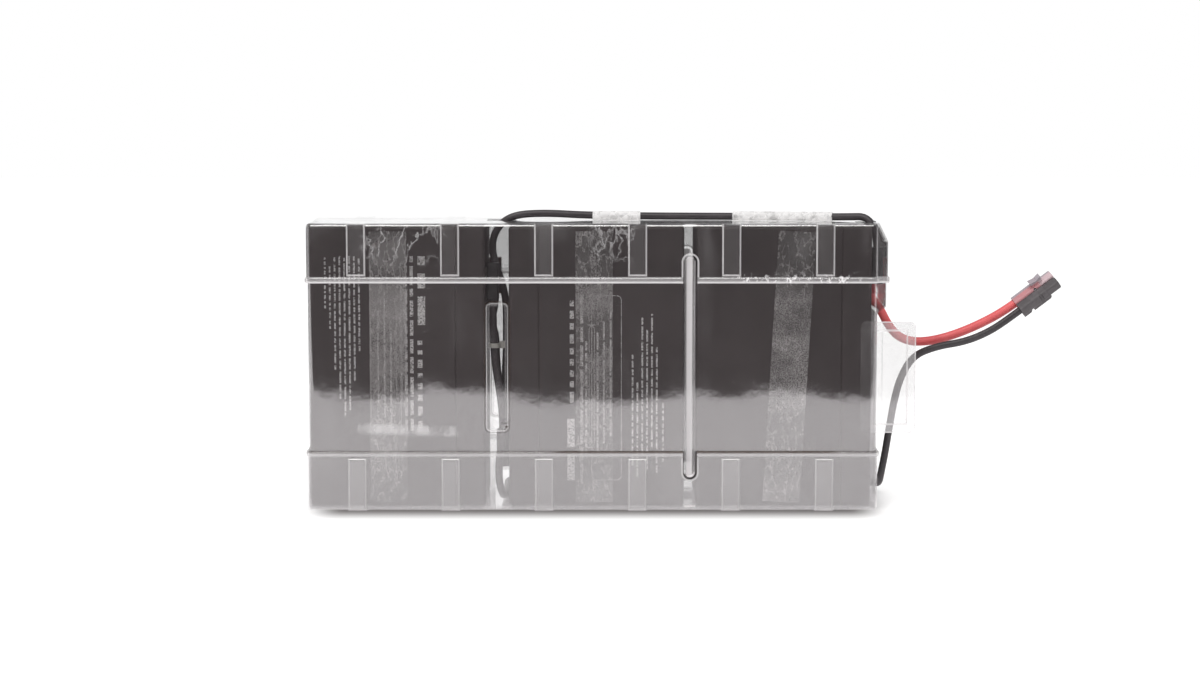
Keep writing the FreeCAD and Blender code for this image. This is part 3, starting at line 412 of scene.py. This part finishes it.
silver_plate = bright_metal("silver plate", (0.9, 0.89, 0.86, 1.0), 0.22)
tin_plate = bright_metal("tin plate", (0.78, 0.76, 0.72, 1.0), 0.3)
spring_steel = bright_metal("spring steel", (0.72, 0.72, 0.74, 1.0), 0.25)
paint(nodes["connector_black_housing"], black_moulding)
paint(nodes["connector_red_housing"], red_moulding)
paint(nodes["connector_black_contact"], silver_plate)
paint(nodes["connector_red_contact"], silver_plate)
paint(nodes["connector_lock_pin"], spring_steel)

# ---------------------------------------------------------------------------------------------
# Sealed lead-acid blocks: charcoal containers with lids welded on, vent covers, spade tabs and
# the flag receptacles in soft boots that are pushed on them.
# ---------------------------------------------------------------------------------------------


def block_plastic():
    """Fine-grained dark plastic with faint streaks, dust and a few rubbed scratches."""
    made = material("charcoal container plastic")
    at = made.spot()
    grain = made.noise(at, 1500.0, 3.0, 0.6)
    cloud = made.noise(at, 22.0, 4.0, 0.55)
    streak = made.noise(made.stretched(at, 60.0, 60.0, 700.0), 1.0, 3.0, 0.6)
    tone = made.blend(cloud.ramp(0.3, 0.7), (0.058, 0.047, 0.048, 1.0), (0.076, 0.063, 0.064, 1.0))
    tone = made.blend(streak.ramp(0.66, 0.8) * 0.3, tone, (0.13, 0.115, 0.115, 1.0))
    skin = made.node(
        "ShaderNodeBsdfPrincipled",
        {},
        {
            "Base Color": tone,
            "Roughness": cloud.ramp(0.2, 0.8, 0.48, 0.62),
            "Normal": made.bump(grain, 0.00004, 0.7),
        },
    )
    return made.surface(skin)


charcoal = block_plastic()
lead_grey = moulding("lead plates", (0.16, 0.165, 0.175, 1.0), (0.24, 0.24, 0.25, 1.0), 0.6)
cap_rubber = moulding("cap rubber", (0.03, 0.03, 0.03, 1.0), (0.05, 0.05, 0.05, 1.0), 0.7)
black_boot = moulding("black boot", (0.03, 0.03, 0.032, 1.0), (0.06, 0.058, 0.06, 1.0), 0.36)
red_boot = moulding("red boot", (0.5, 0.05, 0.06, 1.0), (0.56, 0.12, 0.13, 1.0), 0.36)
# The positive boots of blocks 1 and 2 stand in the gap between those blocks; their red is darkened there
# as painted shade.
red_boot_in_painted_shade = moulding("dark red boot", (0.06, 0.022, 0.024, 1.0), (0.09, 0.05, 0.05, 1.0), 0.36)
for number in (1, 2, 3):
    for part in ("container", "lid", "vent_cover"):
        paint(nodes["block_%d_%s" % (number, part)], charcoal)
    paint(nodes["block_%d_plate_packs" % number], lead_grey)
    paint(nodes["block_%d_vent_caps" % number], cap_rubber)
    positive_boot = red_boot if number == 3 else red_boot_in_painted_shade
    for pole, boot_finish in (("negative", black_boot), ("positive", positive_boot)):
        paint(nodes["block_%d_%s_terminal" % (number, pole)], tin_plate)
        paint(nodes["block_%d_%s_receptacle" % (number, pole)], tin_plate)
        paint(nodes["block_%d_%s_boot" % (number, pole)], boot_finish)

# ---------------------------------------------------------------------------------------------
# Print on the blocks: pale screen-printed ruled bars and a rounded box, thinner than paint.
# Block 1 reads downwards and block 2 upwards, because it stands the other way round.
# ---------------------------------------------------------------------------------------------
ink_thickness = 0.00004
box_corner = 0.0025
front_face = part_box("block_1_container")[0][1]


def screen_ink():
    """Pale ink, worn thin in places."""
    made = material("pale screen ink")
    at = made.spot()
    wear = made.noise(at, 900.0, 3.0, 0.7)
    screen = made.noise(made.stretched(at, 900.0, 900.0, 1500.0), 1.0, 2.0, 0.8)
    skin = made.node(
        "ShaderNodeBsdfPrincipled",
        {},
        {
            "Base Color": made.blend(wear.ramp(0.4, 0.72), (0.7, 0.68, 0.68, 1.0), (0.4, 0.38, 0.38, 1.0)),
            "Roughness": wear.ramp(0.2, 0.8, 0.5, 0.65),
        },
    )
    bare = made.node("ShaderNodeBsdfTransparent", {}, {"Color": (1.0, 1.0, 1.0, 1.0)})
    cover = screen.ramp(0.36, 0.52, 0.3, 1.0)
    return made.surface(made.node("ShaderNodeMixShader", {}, {0: cover, 1: bare, 2: skin}))


ink = screen_ink()


def flat_patch(x0, x1, z0, z1, corner):
    """Add one flat patch on the front face to the mesh that is being edited."""
    middle = ((x0 + x1) / 2, front_face - ink_thickness, (z0 + z1) / 2)
    bpy.ops.mesh.primitive_plane_add(size=1.0, location=middle, rotation=(math.pi / 2, 0, 0))
    bpy.ops.transform.resize(value=(x1 - x0, 1.0, z1 - z0), center_override=middle)
    if corner:
        bpy.ops.mesh.bevel(offset=corner, segments=3, affect="VERTICES")


def printed(name, bars, boxes):
    """One block's print, in millimetres: bars as x0, x1, z0, z1 and boxes as bars with a line width."""
    bpy.ops.object.select_all(action="DESELECT")
    bpy.ops.mesh.primitive_plane_add(size=0.001, location=(0.0, front_face, 0.0))
    piece = bpy.context.object
    piece.name = name
    bpy.ops.object.mode_set(mode="EDIT")
    bpy.ops.mesh.delete(type="VERT")
    for x0, x1, z0, z1 in bars:
        flat_patch(x0 / 1000, x1 / 1000, z0 / 1000, z1 / 1000, 0.0)
    for x0, x1, z0, z1, line in boxes:
        bpy.ops.mesh.select_all(action="DESELECT")
        flat_patch(x0 / 1000, x1 / 1000, z0 / 1000, z1 / 1000, box_corner)
        bpy.ops.mesh.inset(thickness=line / 1000, depth=0.0)
        bpy.ops.mesh.delete(type="FACE")
    bpy.ops.object.mode_set(mode="OBJECT")
    bpy.ops.object.transform_apply(location=True, rotation=True, scale=True)
    paint(piece, ink)
    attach(piece, "root")


chance = random.Random(7)


def ruled(x, width, z0, z1, words):
    """One printed line: bars of uneven length with short gaps, between two heights."""
    made = []
    z = z0
    step = (z1 - z0) / words
    while z < z1 - 1.0:
        end = min(z1, z + step * chance.uniform(0.5, 1.4))
        made.append((x, x + width, z, end))
        z = end + width * 1.1
    return made


bars = []
for x, z0, z1 in (
    (-142.6, 109, 137), (-140.0, 98, 133), (-137.4, 76, 137), (-134.8, 60, 137),
    (-132.2, 51, 136), (-129.6, 54, 137), (-127.0, 70, 137), (-124.4, 86, 137),
):
    bars += ruled(x, 0.95, z0, z1, 14)
for x, width, z0, z1 in ((-99.6, 1.4, 43, 137), (-96.8, 1.8, 43, 137), (-92.8, 2.6, 43, 92)):
    bars += ruled(x, width, z0, z1, 12)
for x, z0, z1 in ((-114.4, 58, 108), (-111.0, 50, 118), (-107.6, 44, 98)):
    bars += ruled(x, 1.0, z0, z1, 7)
bars += ruled(-92.6, 4.0, 100, 137, 3)
printed("block_1_print", bars, [(-118.2, -101.6, 43, 137, 0.35), (-104.2, -101.0, 58, 122, 0.3)])
bars = []
for x, z0, z1 in (
    (22.0, 24, 84), (24.6, 18, 70), (27.2, 30, 104), (29.8, 22, 98),
    (32.4, 34, 106), (35.0, 20, 88), (38.4, 26, 58),
):
    bars += ruled(x, 0.95, z0, z1, 14)
for x, width, z0, z1 in ((-11.2, 2.2, 58, 116), (-5.6, 1.6, 14, 116), (-3.0, 1.2, 30, 92)):
    bars += ruled(x, width, z0, z1, 12)
for x, z0, z1 in ((3.2, 30, 96), (6.6, 36, 102), (10.2, 40, 108)):
    bars += ruled(x, 1.0, z0, z1, 7)
bars += ruled(-12.6, 4.0, 16, 52, 3)
printed("block_2_print", bars, [(0.4, 16.6, 16, 116, 0.35), (-1.0, 2.2, 34, 100, 0.3)])

# ---------------------------------------------------------------------------------------------
# Clear case: two drawn half shells and two drawn trays of half-millimetre PET.  The film keeps a
# slow waviness from the draw and a little haze; painted highlights and painted light lie on its
# rims, rib walls and window, and painted shade on the window's edge.  The lamp shines through it,
# so it throws no shadow.
# ---------------------------------------------------------------------------------------------
rim_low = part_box("bottom_tray")[1][2]
rim_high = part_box("top_tray")[0][2]
rib_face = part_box("bottom_tray")[1][1]
shell_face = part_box("rear_shell")[1][1]
film_thickness = 0.0005
window_x = -0.0502
window_z = 0.07725
window_flat_x = 0.0033
window_flat_z = 0.0320
window_round = 0.0025
spacer_x = 0.0533
draw_mark = (-0.099, 0.0405)
glued_seam_x = 0.111
stained_seam_x = 0.056
creased_x = (-0.1, 0.012)


def clear_film(name, gloss, hidden_gloss, drawn_lines):
    """Clear film: a mirror skin over a see-through body, wavy and hazy, whitened where it was stretched,
    with painted highlights and painted shade as white and dark lines.

    drawn_lines takes the finish and the place and gives how white and how dark the film is there.
    """
    made = material(name)
    at, across, depth, height = made.place()
    wave = made.noise(made.stretched(at, 9.0, 9.0, 5.0), 1.0, 2.0, 0.4)
    ripple = made.noise(at, 70.0, 3.0, 0.5)
    normal = made.bump(wave * 0.9 + ripple * 0.02, 0.0022)
    facing = made.node("ShaderNodeLayerWeight", {}, {"Blend": 0.5, "Normal": normal}).out("Facing")
    covered = (height > rim_high).math("MAXIMUM", height > rim_high, height < rim_low)
    skin_gloss = gloss + covered * (hidden_gloss - gloss)
    mirror = skin_gloss + (1.0 - skin_gloss) * facing ** 5.0
    smear = made.noise(made.stretched(at, 30.0, 30.0, 12.0), 1.0, 5.0, 0.65)
    grit = made.noise(at, 1400.0, 2.0, 0.7)
    clear = made.node("ShaderNodeBsdfTransparent", {}, {"Color": (0.985, 0.985, 0.985, 1.0)})
    gleam = made.node(
        "ShaderNodeBsdfGlossy", {}, {"Color": (1.0, 1.0, 1.0, 1.0), "Roughness": 0.045, "Normal": normal}
    )
    haze_and_painted_highlight = made.node("ShaderNodeBsdfDiffuse", {}, {"Color": (0.95, 0.93, 0.94, 1.0)})
    painted_shade_and_stain = made.node("ShaderNodeBsdfDiffuse", {}, {"Color": (0.09, 0.062, 0.05, 1.0)})
    film = made.node("ShaderNodeMixShader", {}, {0: mirror.clamped(), 1: clear, 2: gleam})
    white, dark = drawn_lines(made, at, across, depth, height)
    # The white share is haze and real marks, plus the painted highlights that drawn_lines gives.
    haze_and_highlight_share = (smear.ramp(0.5, 0.8) * 0.035 + grit.ramp(0.7, 0.8) * 0.05 + white).clamped()
    body = made.node("ShaderNodeMixShader", {}, {0: haze_and_highlight_share, 1: film, 2: haze_and_painted_highlight})
    # The dark share is painted shade from drawn_lines, and the stain on the lower tray seam.
    return made.surface(made.node("ShaderNodeMixShader", {}, {0: dark.clamped(), 1: body, 2: painted_shade_and_stain}))


def shell_lines(made, at, across, depth, height):
    """Window over the wire gap with painted highlights on its walls and edge and painted shade along it,
    and the long pill rib, partly frosted and partly painted light.
    """
    inward = shell_face - abs(depth)
    window = abs(across - window_x).ramp(0.0066, 0.0070, 1.0, 0.0)
    sunk = inward.ramp(0.0006, 0.0007)
    wall = sunk * inward.ramp(0.0014, 0.0016, 1.0, 0.0) * window
    corner = (across + 0.048).ramp(-0.002, 0.003) * abs(height - 0.0445).ramp(0.0, 0.006, 1.0, 0.0)
    past_side = abs(across - window_x) - window_flat_x
    past_end = abs(height - window_z) - window_flat_z
    past_side = past_side.math("MAXIMUM", past_side, 0.0)
    past_end = past_end.math("MAXIMUM", past_end, 0.0)
    border = (past_side * past_side + past_end * past_end) ** 0.5 - window_round
    ring = abs(border + 0.0002).ramp(0.0001, 0.0005, 1.0, 0.0) * height.ramp(0.06, 0.1, 0.34, 0.2)
    ring = ring + abs(border + 0.0014).ramp(0.0001, 0.0004, 1.0, 0.0) * 0.1
    outer_ring = abs(border - 0.0008).ramp(0.0001, 0.0005, 1.0, 0.0)
    crinkle = made.noise(made.stretched(at, 500.0, 60.0, 700.0), 1.0, 4.0, 0.7)
    pill = abs(across - spacer_x).ramp(0.0030, 0.0034, 1.0, 0.0) * sunk
    side = pill * inward.ramp(0.0054, 0.0058, 1.0, 0.0)
    core = abs(across - spacer_x + 0.0003).ramp(0.0011, 0.0020, 1.0, 0.0) * sunk
    core = core * inward.ramp(0.0070, 0.0080, 1.0, 0.0)
    rubbed = made.noise(made.stretched(at, 100.0, 100.0, 30.0), 1.0, 4.0, 0.6)
    scratch = made.noise(made.stretched(at, 60.0, 60.0, 2400.0), 1.0, 2.0, 0.8)
    scored = scratch.ramp(0.70, 0.74) * rubbed.ramp(0.5, 0.62) * 0.2
    drawn = abs(height - draw_mark[1] + across * 0.03).ramp(0.001, 0.004, 1.0, 0.0) * rubbed.ramp(0.4, 0.6)
    drawn = drawn * abs(across - draw_mark[0]).ramp(0.022, 0.03, 1.0, 0.0) * 0.3
    # Painted highlights on the window walls and round its edge, brighter lower down; the scored lines and
    # the draw mark are real marks.
    white = wall * 0.7 + ring + scored + drawn
    # The pill rib's white sides and core are partly frosted film and partly painted light for the white
    # seen through the gap behind it.
    white = white + (pill - side) * (0.06 + rubbed * 0.16) + side * 0.85 + core * 0.5
    # Painted shade: dark crinkles in the window's lower right corner, and a painted dark outline just
    # outside its edge.
    dark = border.ramp(0.0, 0.0003, 1.0, 0.0) * window * corner * crinkle.ramp(0.48, 0.6)
    return white, dark * 0.7 + outer_ring * 0.22


def tray_lines(made, at, across, depth, height):
    """Rib walls painted white as painted light, painted highlights on the rolled rims, glue flakes on the
    upper seam and a stained lower one.
    """
    outward = rib_face - abs(depth)
    rib = outward.ramp(0.0012, 0.0014, 1.0, 0.0)
    face = outward.ramp(0.00008, 0.0002, 1.0, 0.0)
    face = face + abs(outward - film_thickness).ramp(0.00003, 0.00007, 1.0, 0.0)
    from_low = rim_low - height
    from_high = height - rim_high
    low_rim = from_low.ramp(0.0032, 0.0036, 1.0, 0.0) * (from_low > -0.0001)
    high_rim = from_high.ramp(0.0032, 0.0036, 1.0, 0.0) * (from_high > -0.0001)
    streak = made.noise(made.stretched(at, 25.0, 25.0, 900.0), 1.0, 3.0, 0.6)
    flake = made.noise(at, 330.0, 4.0, 0.7)
    glued = abs(across - glued_seam_x).ramp(0.03, 0.036, 1.0, 0.0) * from_high.ramp(0.002, 0.007, 1.0, 0.0)
    glued = glued * (from_high > -0.0001) * flake.ramp(0.56, 0.6)
    off_rim = 1.0 - low_rim.math("MAXIMUM", low_rim, high_rim)
    high_edge = from_high.ramp(0.0006, 0.0014, 1.0, 0.0) * high_rim
    low_edge = abs(from_low - 0.002).ramp(0.0004, 0.001, 1.0, 0.0) * low_rim
    crease = abs(made.noise(made.stretched(at, 90.0, 60.0, 60.0), 1.0, 5.0, 0.55) - 0.5).ramp(0.02, 0.0)
    pressed = abs(across - creased_x[0]).ramp(0.012, 0.03, 1.0, 0.0)
    pressed = pressed + abs(across - creased_x[1]).ramp(0.006, 0.016, 1.0, 0.0)
    pressed = pressed * from_high.ramp(0.006, 0.02) * outward.ramp(0.002, 0.003, 1.0, 0.0) * crease * 0.2
    # Painted light: white rib walls, and a faint white on the rib faces, more on the lower tray.
    white = (rib - face) * off_rim * 0.5 + face * off_rim * (0.02 + (from_low > 0.0) * 0.07)
    white = white + glued * 0.75 + pressed
    # Painted highlights along the rolled rims and their edges, streaked.
    white = white + high_rim * (0.08 + streak * 0.2) + high_edge * 0.4
    white = white + low_rim * (0.01 + streak * 0.1) + low_edge * 0.2
    stained = abs(across - stained_seam_x).ramp(0.07, 0.08, 1.0, 0.35)
    dark = (from_low > -0.0001) * from_low.ramp(0.0007, 0.0012, 1.0, 0.0) * stained * 0.7
    return white, dark


tab_low, tab_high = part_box("pull_tab")
tab_panel_inset = 0.0047


def tab_lines(made, at, across, depth, height):
    """Rubbed tongue with a pale film, partly haze and partly painted reflection, and painted highlights
    along its edge and round its raised panel.
    """
    inset = (tab_high[0] - across).math("MINIMUM", tab_high[0] - across, height - tab_low[2])
    inset = inset.math("MINIMUM", inset, tab_high[2] - height)
    edge = inset.ramp(0.0004, 0.0008, 1.0, 0.0)
    step = abs(inset - tab_panel_inset).ramp(0.0003, 0.0007, 1.0, 0.0)
    rubbed = made.noise(at, 60.0, 5.0, 0.7)
    free = across.ramp(tab_low[0] + 0.007, tab_low[0] + 0.010, 0.1, 1.0)
    # Painted highlights on the edge and the panel step; the pale share stands partly for haze and partly
    # for painted reflection.
    return (edge * 0.3 + step * 0.22 + 0.07 + rubbed * 0.16) * free, edge * 0.0


shell_film = clear_film("shell film", 0.2, 0.02, shell_lines)
tray_film = clear_film("tray film", 0.2, 0.2, tray_lines)
tab_film = clear_film("tab film", 0.1, 0.1, tab_lines)
for name, film in (
    ("front_shell", shell_film),
    ("rear_shell", shell_film),
    ("bottom_tray", tray_film),
    ("top_tray", tray_film),
    ("pull_tab", tab_film),
):
    paint(nodes[name], film)
    nodes[name].visible_shadow = False

# ---------------------------------------------------------------------------------------------
# Adhesive strips between block and shell, and clear tapes over the wires.
# ---------------------------------------------------------------------------------------------


def adhesive_film():
    """Double-sided tape: cloudy, crinkled at the ends, with fine trapped air along its middle."""
    made = material("cloudy adhesive")
    at, across, _, height = made.place()
    froth = made.noise(at, 1500.0, 3.0, 0.7)
    bubble = made.noise(at, 420.0, 4.0, 0.7)
    patch = made.noise(made.stretched(at, 14.0, 14.0, 30.0), 1.0, 4.0, 0.6)
    fold = abs(made.noise(made.stretched(at, 210.0, 210.0, 90.0), 1.0, 4.0, 0.6) - 0.5)
    middle = abs(height - 0.09).ramp(0.02, 0.045, 1.0, 0.0)
    frothy = froth.ramp(0.4, 0.6) * middle * patch.ramp(0.35, 0.6, 0.25, 0.8)
    frothy = frothy * across.ramp(0.03, 0.06, 0.35, 1.0)
    creased = fold.ramp(0.035, 0.0) * (1.0 - middle * 0.6) * 0.5
    amount = frothy * 0.6 + creased * bubble.ramp(0.3, 0.6) + patch.ramp(0.4, 0.7) * 0.24 + 0.17
    skin = made.node(
        "ShaderNodeBsdfPrincipled",
        {},
        {
            "Base Color": made.blend(patch, (0.5, 0.47, 0.47, 1.0), (0.7, 0.67, 0.67, 1.0)),
            "Roughness": 0.5,
            "Normal": made.bump(bubble, 0.0001),
        },
    )
    clear = made.node("ShaderNodeBsdfTransparent", {}, {"Color": (1.0, 1.0, 1.0, 1.0)})
    return made.surface(made.node("ShaderNodeMixShader", {}, {0: amount.clamped(), 1: clear, 2: skin}))


def crinkled_tape():
    """Thin clear tape, whitened by sharp creases and trapped air."""
    made = material("crinkled tape")
    at = made.spot()
    crease = made.node(
        "ShaderNodeTexVoronoi", {"feature": "DISTANCE_TO_EDGE"}, {"Vector": at, "Scale": 190.0}
    )
    cloud = made.noise(at, 240.0, 4.0, 0.6)
    normal = made.bump(crease + cloud * 0.6, 0.0012)
    facing = made.node("ShaderNodeLayerWeight", {}, {"Blend": 0.5, "Normal": normal}).out("Facing")
    clear = made.node("ShaderNodeBsdfTransparent", {}, {"Color": (0.97, 0.97, 0.97, 1.0)})
    gleam = made.node(
        "ShaderNodeBsdfGlossy", {}, {"Color": (1.0, 1.0, 1.0, 1.0), "Roughness": 0.16, "Normal": normal}
    )
    trapped = made.node("ShaderNodeBsdfDiffuse", {}, {"Color": (0.96, 0.95, 0.95, 1.0), "Normal": normal})
    mirror = (0.1 + 0.6 * facing ** 3.0 + crease.ramp(0.02, 0.0) * 0.3).clamped()
    skin = made.node("ShaderNodeMixShader", {}, {0: mirror, 1: clear, 2: gleam})
    whitened = (cloud.ramp(0.3, 0.55, 0.45, 0.85) + crease.ramp(0.03, 0.0) * 0.2).clamped()
    return made.surface(made.node("ShaderNodeMixShader", {}, {0: whitened, 1: skin, 2: trapped}))


adhesive = adhesive_film()
tape = crinkled_tape()
for number in (1, 2, 3):
    for where in ("front", "rear"):
        paint(nodes["block_%d_%s_strip" % (number, where)], adhesive)
for name in ("top_tape_left", "top_tape_right", "rear_tapes"):
    paint(nodes[name], tape)
paint(nodes["cable_tie"], moulding("natural nylon", (0.62, 0.6, 0.56, 1.0), (0.7, 0.68, 0.64, 1.0), 0.3))
